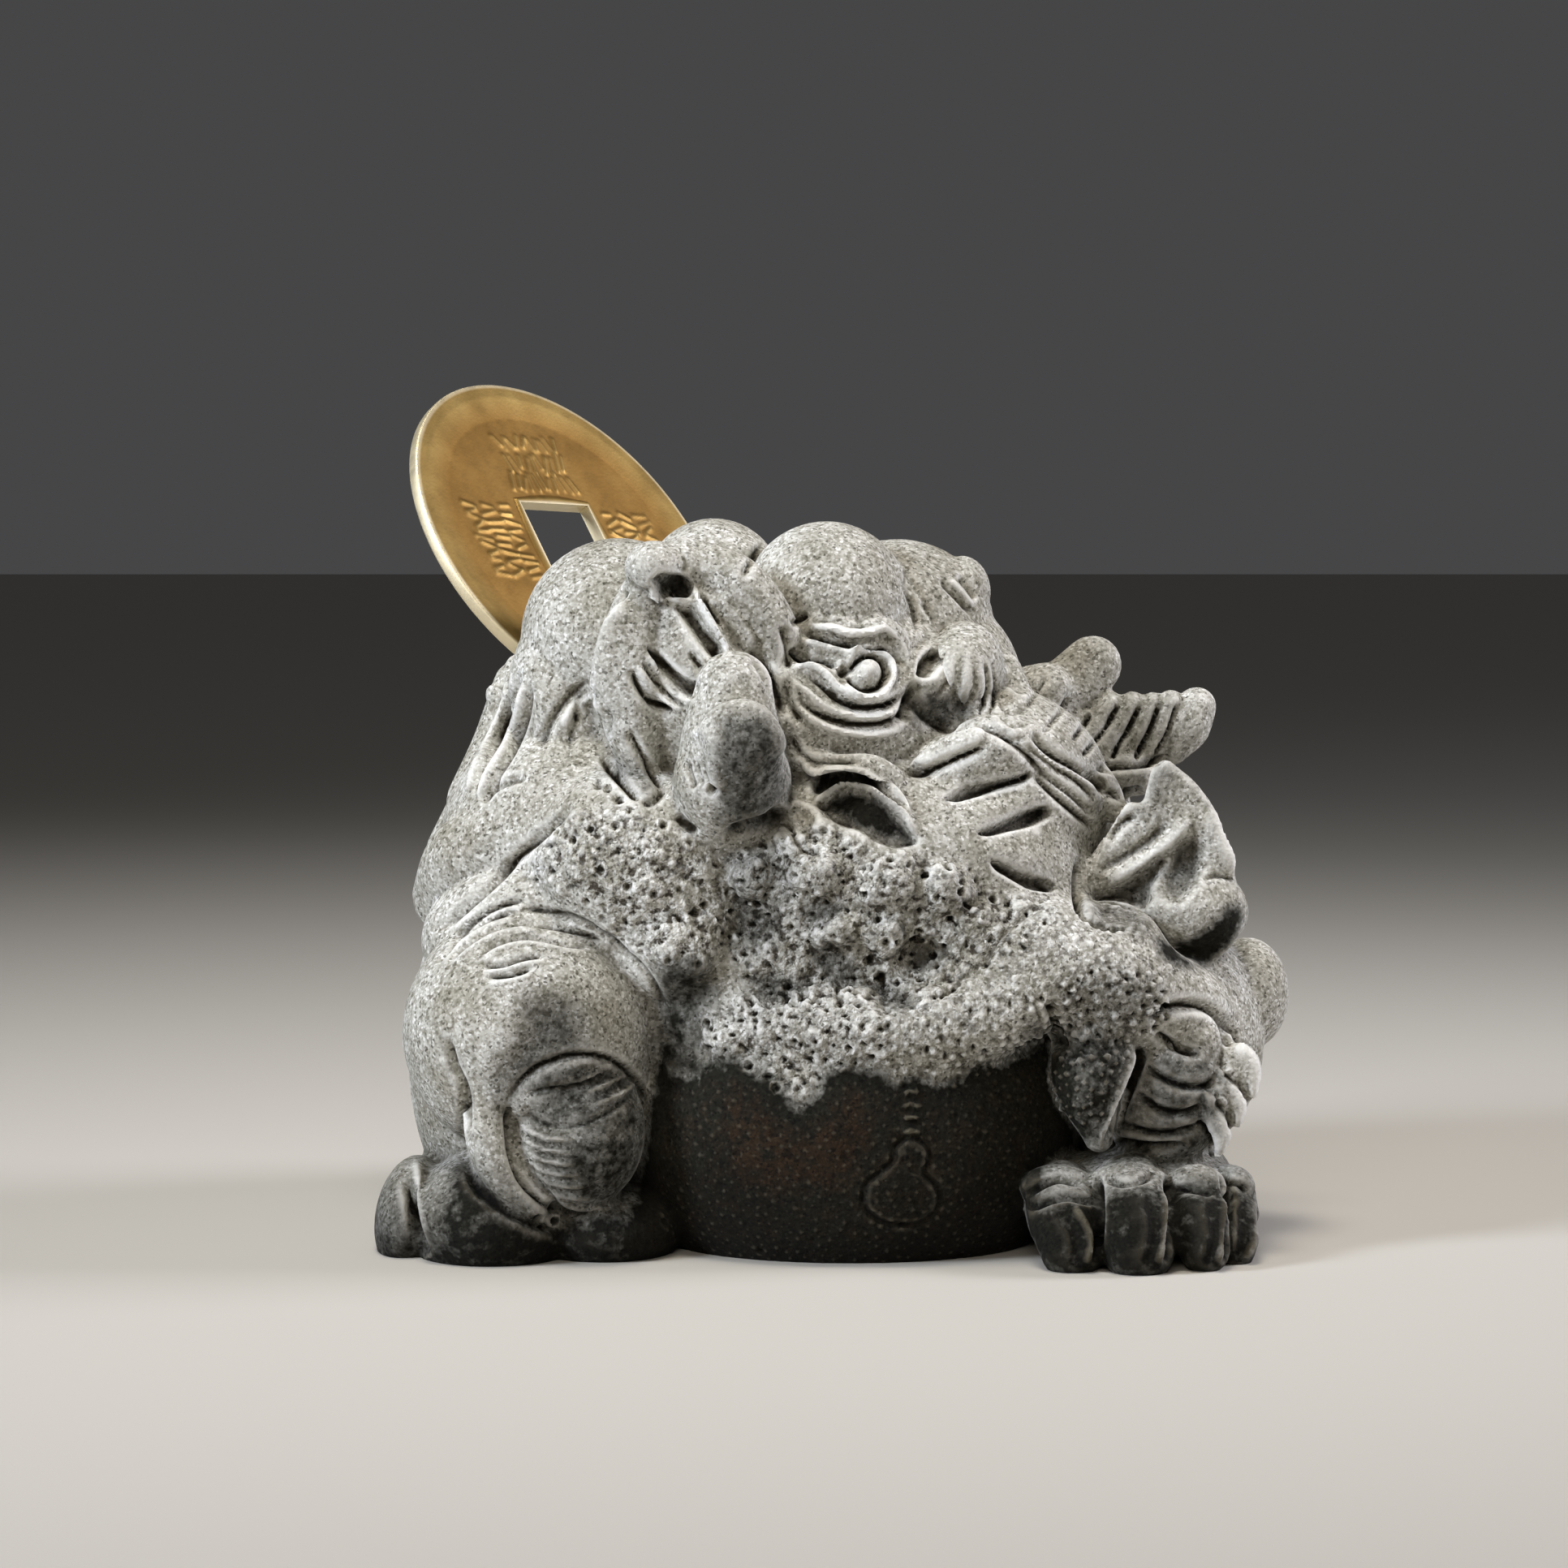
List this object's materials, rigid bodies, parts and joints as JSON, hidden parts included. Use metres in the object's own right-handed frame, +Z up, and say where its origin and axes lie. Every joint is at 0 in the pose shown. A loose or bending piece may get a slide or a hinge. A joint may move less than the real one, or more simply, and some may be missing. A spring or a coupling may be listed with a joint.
{
  "type": "money toad figure with coin",
  "caption": "Squat money toad ornament in cast sandstone, head raised and turned aside, with a large square-holed brass cash coin standing loose in a slot behind its head.",
  "frame": {"origin": "on the flat underside that the figure stands on, under the middle of its width", "axes": "+Z up, -Y towards the side of the chest and belly, +X to the right of someone who looks at that side"},
  "size_m": [0.1106, 0.0963, 0.1038],
  "materials": {
    "sandstone": "matt speckled grey-green, tooled by the mould and lightly worn, brownish low on the belly",
    "brass": "struck and worn, dull golden brown with bright edges"
  },
  "bodies": {
    "root": {"toad": "sandstone", "coin": "brass"}
  },
  "joints": []
}
